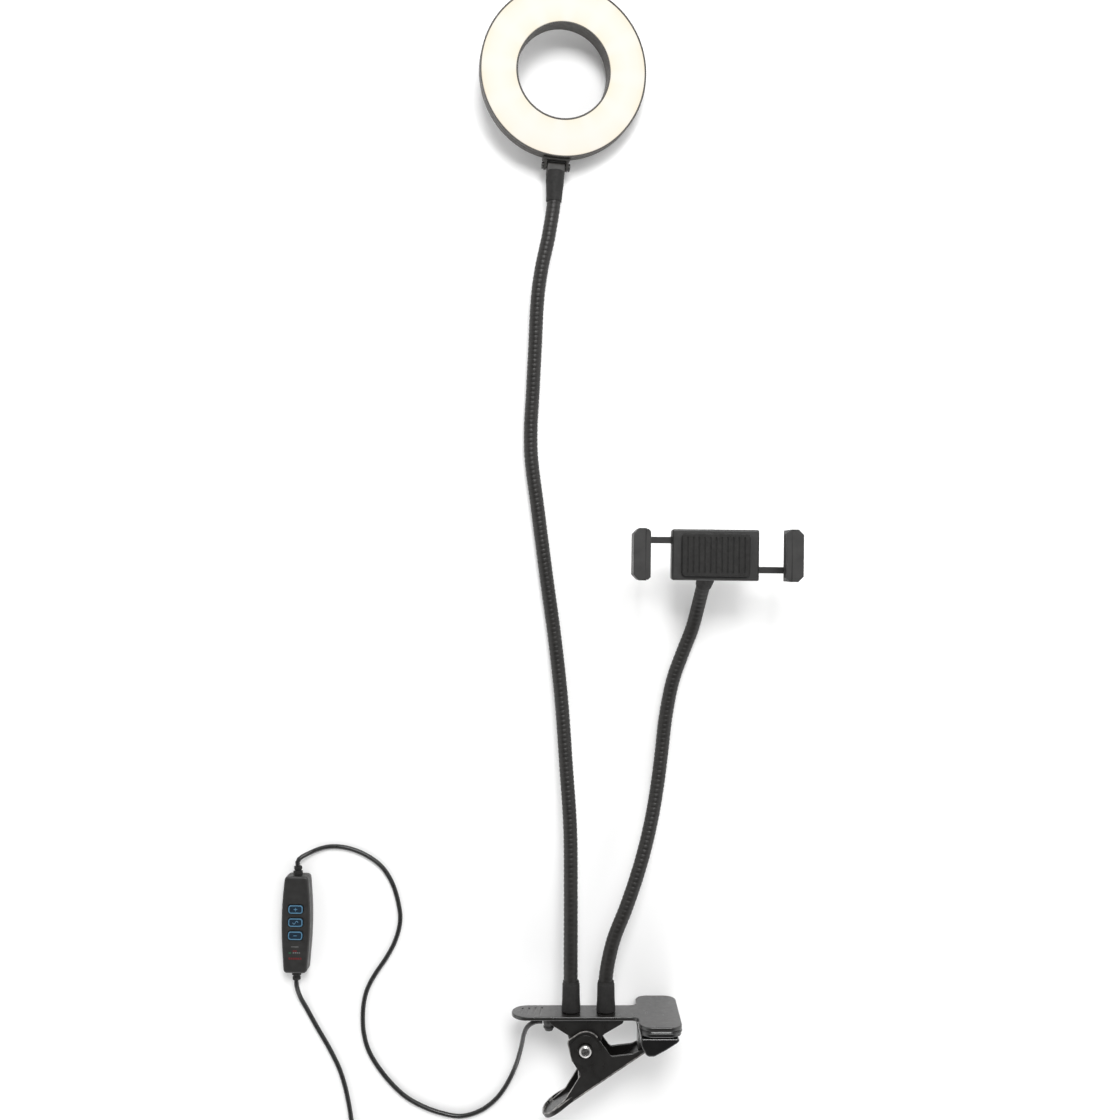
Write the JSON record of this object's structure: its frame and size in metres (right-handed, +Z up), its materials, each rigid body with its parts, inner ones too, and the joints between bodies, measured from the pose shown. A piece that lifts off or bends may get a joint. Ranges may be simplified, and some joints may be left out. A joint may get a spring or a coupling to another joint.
{
  "type": "clip-on ring light with phone holder",
  "caption": "Clip-on ring light: LED ring head and spring phone holder on two flexible goosenecks, spring clip base, USB lead with in-line three-button switch.",
  "frame": {"origin": "on the surface the light lies on, under the middle of its box without the free lead and switch", "axes": "+Y from the clip towards the ring head, +Z up out of the ring's lit face, +X to the phone holder's side"},
  "size_m": [0.2816, 0.6879, 0.058],
  "materials": {
    "coated_steel": "satin black powder coat on pressed steel",
    "neck_coating": "satin black coated steel hose with fine ridges",
    "black_plastic": "fine-grained black moulded plastic",
    "gloss_black": "smooth glossy black",
    "grey_plastic": "dark warm grey moulded plastic",
    "diffuser_white": "milky cream diffuser, lit from inside",
    "board_white": "white solder mask",
    "bright_steel": "bright plated steel",
    "black_rubber": "matte black rubber",
    "cord_sheath": "smooth black cable sheath",
    "button_blue": "dark blue buttons with pale blue edges"
  },
  "bodies": {
    "clip": {"clip_plate": "coated_steel", "upper_jaw_pad": "gloss_black", "pivot_pin": "bright_steel", "pivot_nut": "bright_steel", "pivot_spring": "bright_steel", "cable_gland": "black_plastic", "lamp_stud": "bright_steel", "lamp_nut": "bright_steel", "phone_stud": "bright_steel", "phone_nut": "bright_steel", "lamp_base_boot": "black_rubber", "phone_base_boot": "black_rubber", "lamp_arm_1": "neck_coating", "phone_arm_1": "neck_coating", "lead_to_switch": "cord_sheath", "switch_top_shell": "black_plastic", "switch_bottom_shell": "black_plastic", "switch_board": "board_white", "relief_lamp_side": "black_rubber", "relief_plug_side": "black_rubber", "lead_to_plug": "cord_sheath", "lead_coil": "cord_sheath", "plug_overmould": "black_plastic", "plug_shell": "bright_steel"},
    "lever": {"clip_lever": "coated_steel", "lower_jaw_shoe": "gloss_black"},
    "lamp_arm_2": {"lamp_arm_2": "neck_coating"},
    "lamp_arm_3": {"lamp_arm_3": "neck_coating"},
    "lamp_arm_4": {"lamp_arm_4": "neck_coating"},
    "lamp_arm_5": {"lamp_arm_5": "neck_coating"},
    "lamp_arm_6": {"lamp_arm_6": "neck_coating", "lamp_top_boot": "black_rubber", "tilt_knuckle": "black_plastic"},
    "ring_head": {"ring_housing": "grey_plastic", "ring_diffuser": "diffuser_white", "led_board": "board_white", "neck_bracket": "grey_plastic", "tilt_pin": "bright_steel", "tilt_nut": "bright_steel"},
    "phone_arm_2": {"phone_arm_2": "neck_coating"},
    "phone_arm_3": {"phone_arm_3": "neck_coating"},
    "phone_arm_4": {"phone_arm_4": "neck_coating", "phone_top_boot": "black_rubber", "ball_stud": "bright_steel"},
    "ball_collar": {"lock_ring": "black_plastic"},
    "phone_holder": {"ball_socket": "black_plastic", "holder_back_shell": "black_plastic", "holder_front_shell": "black_plastic", "holder_pad": "black_rubber", "holder_screw": "bright_steel", "pinion_spring": "bright_steel"},
    "pinion": {"holder_pinion": "black_plastic"},
    "jaw_left": {"jaw_left": "black_plastic", "jaw_pad_left": "black_rubber"},
    "jaw_right": {"jaw_right": "black_plastic", "jaw_pad_right": "black_rubber"},
    "button_brighter": {"button_brighter": "button_blue"},
    "button_mode": {"button_mode": "button_blue"},
    "button_dimmer": {"button_dimmer": "button_blue"}
  },
  "joints": [
    {"name": "clip_lever_hinge", "type": "hinge", "parent": "clip", "child": "lever", "pos_m": [-0.02722, -0.27038, 0.02375], "axis": [0, 0, -1], "range_deg": [0, 34], "stiffness_Nm_per_rad": 1, "springref_deg": -45.84, "deforming": ["pivot_spring"]},
    {"name": "lamp_arm_bend_1", "type": "hinge", "parent": "clip", "child": "lamp_arm_2", "pos_m": [-0.03492, -0.17411, 0.01796], "axis": [1, 0.0012, 0], "range_deg": [-40, 40]},
    {"name": "lamp_arm_bend_2", "type": "hinge", "parent": "lamp_arm_2", "child": "lamp_arm_3", "pos_m": [-0.03893, -0.09856, 0.00702], "axis": [-0.0082, 0.1165, 0.9932], "range_deg": [-40, 40]},
    {"name": "lamp_arm_bend_3", "type": "hinge", "parent": "lamp_arm_3", "child": "lamp_arm_4", "pos_m": [-0.0475, -0.0227, 0.00382], "axis": [0.9905, 0.1378, 0], "range_deg": [-40, 40]},
    {"name": "lamp_arm_bend_4", "type": "hinge", "parent": "lamp_arm_4", "child": "lamp_arm_5", "pos_m": [-0.05707, 0.05316, 0.00388], "axis": [0.0002, -0.0031, 1], "range_deg": [-40, 40]},
    {"name": "lamp_arm_bend_5", "type": "hinge", "parent": "lamp_arm_5", "child": "lamp_arm_6", "pos_m": [-0.05401, 0.12946, 0.00712], "axis": [0.9986, -0.0532, 0], "range_deg": [-40, 40]},
    {"name": "ring_tilt", "type": "hinge", "parent": "lamp_arm_6", "child": "ring_head", "pos_m": [-0.04321, 0.21265, 0.00935], "axis": [0.9877, -0.0587, -0.1452], "range_deg": [-50, 50]},
    {"name": "phone_arm_bend_1", "type": "hinge", "parent": "clip", "child": "phone_arm_2", "pos_m": [0.00028, -0.18362, 0.01823], "axis": [-0.9436, 0.331, 0], "range_deg": [-40, 40]},
    {"name": "phone_arm_bend_2", "type": "hinge", "parent": "phone_arm_2", "child": "phone_arm_3", "pos_m": [0.01462, -0.12421, 0.00706], "axis": [-0.0192, -0.1378, -0.9903], "range_deg": [-40, 40]},
    {"name": "phone_arm_bend_3", "type": "hinge", "parent": "phone_arm_3", "child": "phone_arm_4", "pos_m": [0.02437, -0.06804, 0.00382], "axis": [-0.9409, 0.3388, 0], "range_deg": [-40, 40]},
    {"name": "holder_tilt", "type": "hinge", "parent": "phone_arm_4", "child": "ball_collar", "pos_m": [0.04125, -0.00678, 0.0265], "axis": [0.9797, -0.2005, 0], "range_deg": [-70, 4]},
    {"name": "holder_spin", "type": "hinge", "parent": "ball_collar", "child": "phone_holder", "pos_m": [0.04125, -0.00678, 0.0265], "axis": [0, 0, 1], "continuous": true},
    {"name": "jaw_left_slide", "type": "slide", "parent": "phone_holder", "child": "jaw_left", "axis": [-0.9999, 0.011, 0], "range_m": [-0.0105, 0.006]},
    {"name": "jaw_right_slide", "type": "slide", "parent": "phone_holder", "child": "jaw_right", "axis": [0.9999, -0.011, 0], "range_m": [-0.0105, 0.006]},
    {"name": "pinion_spin", "type": "hinge", "parent": "phone_holder", "child": "pinion", "pos_m": [0.04128, -0.00378, 0.0364], "axis": [0, 0, 1], "range_deg": [-121, 69]},
    {"name": "button_brighter_press", "type": "slide", "parent": "clip", "child": "button_brighter", "axis": [0, 0, -1], "range_m": [0, 0.0005], "stiffness_N_per_m": 200, "springref_m": -0.001},
    {"name": "button_mode_press", "type": "slide", "parent": "clip", "child": "button_mode", "axis": [0, 0, -1], "range_m": [0, 0.0005], "stiffness_N_per_m": 200, "springref_m": -0.001},
    {"name": "button_dimmer_press", "type": "slide", "parent": "clip", "child": "button_dimmer", "axis": [0, 0, -1], "range_m": [0, 0.0005], "stiffness_N_per_m": 200, "springref_m": -0.001}
  ],
  "couplings": [
    {"joint": "jaw_right_slide", "follows": "jaw_left_slide", "ratio": 1},
    {"joint": "pinion_spin", "follows": "jaw_left_slide", "rad_per_m": 200}
  ]
}
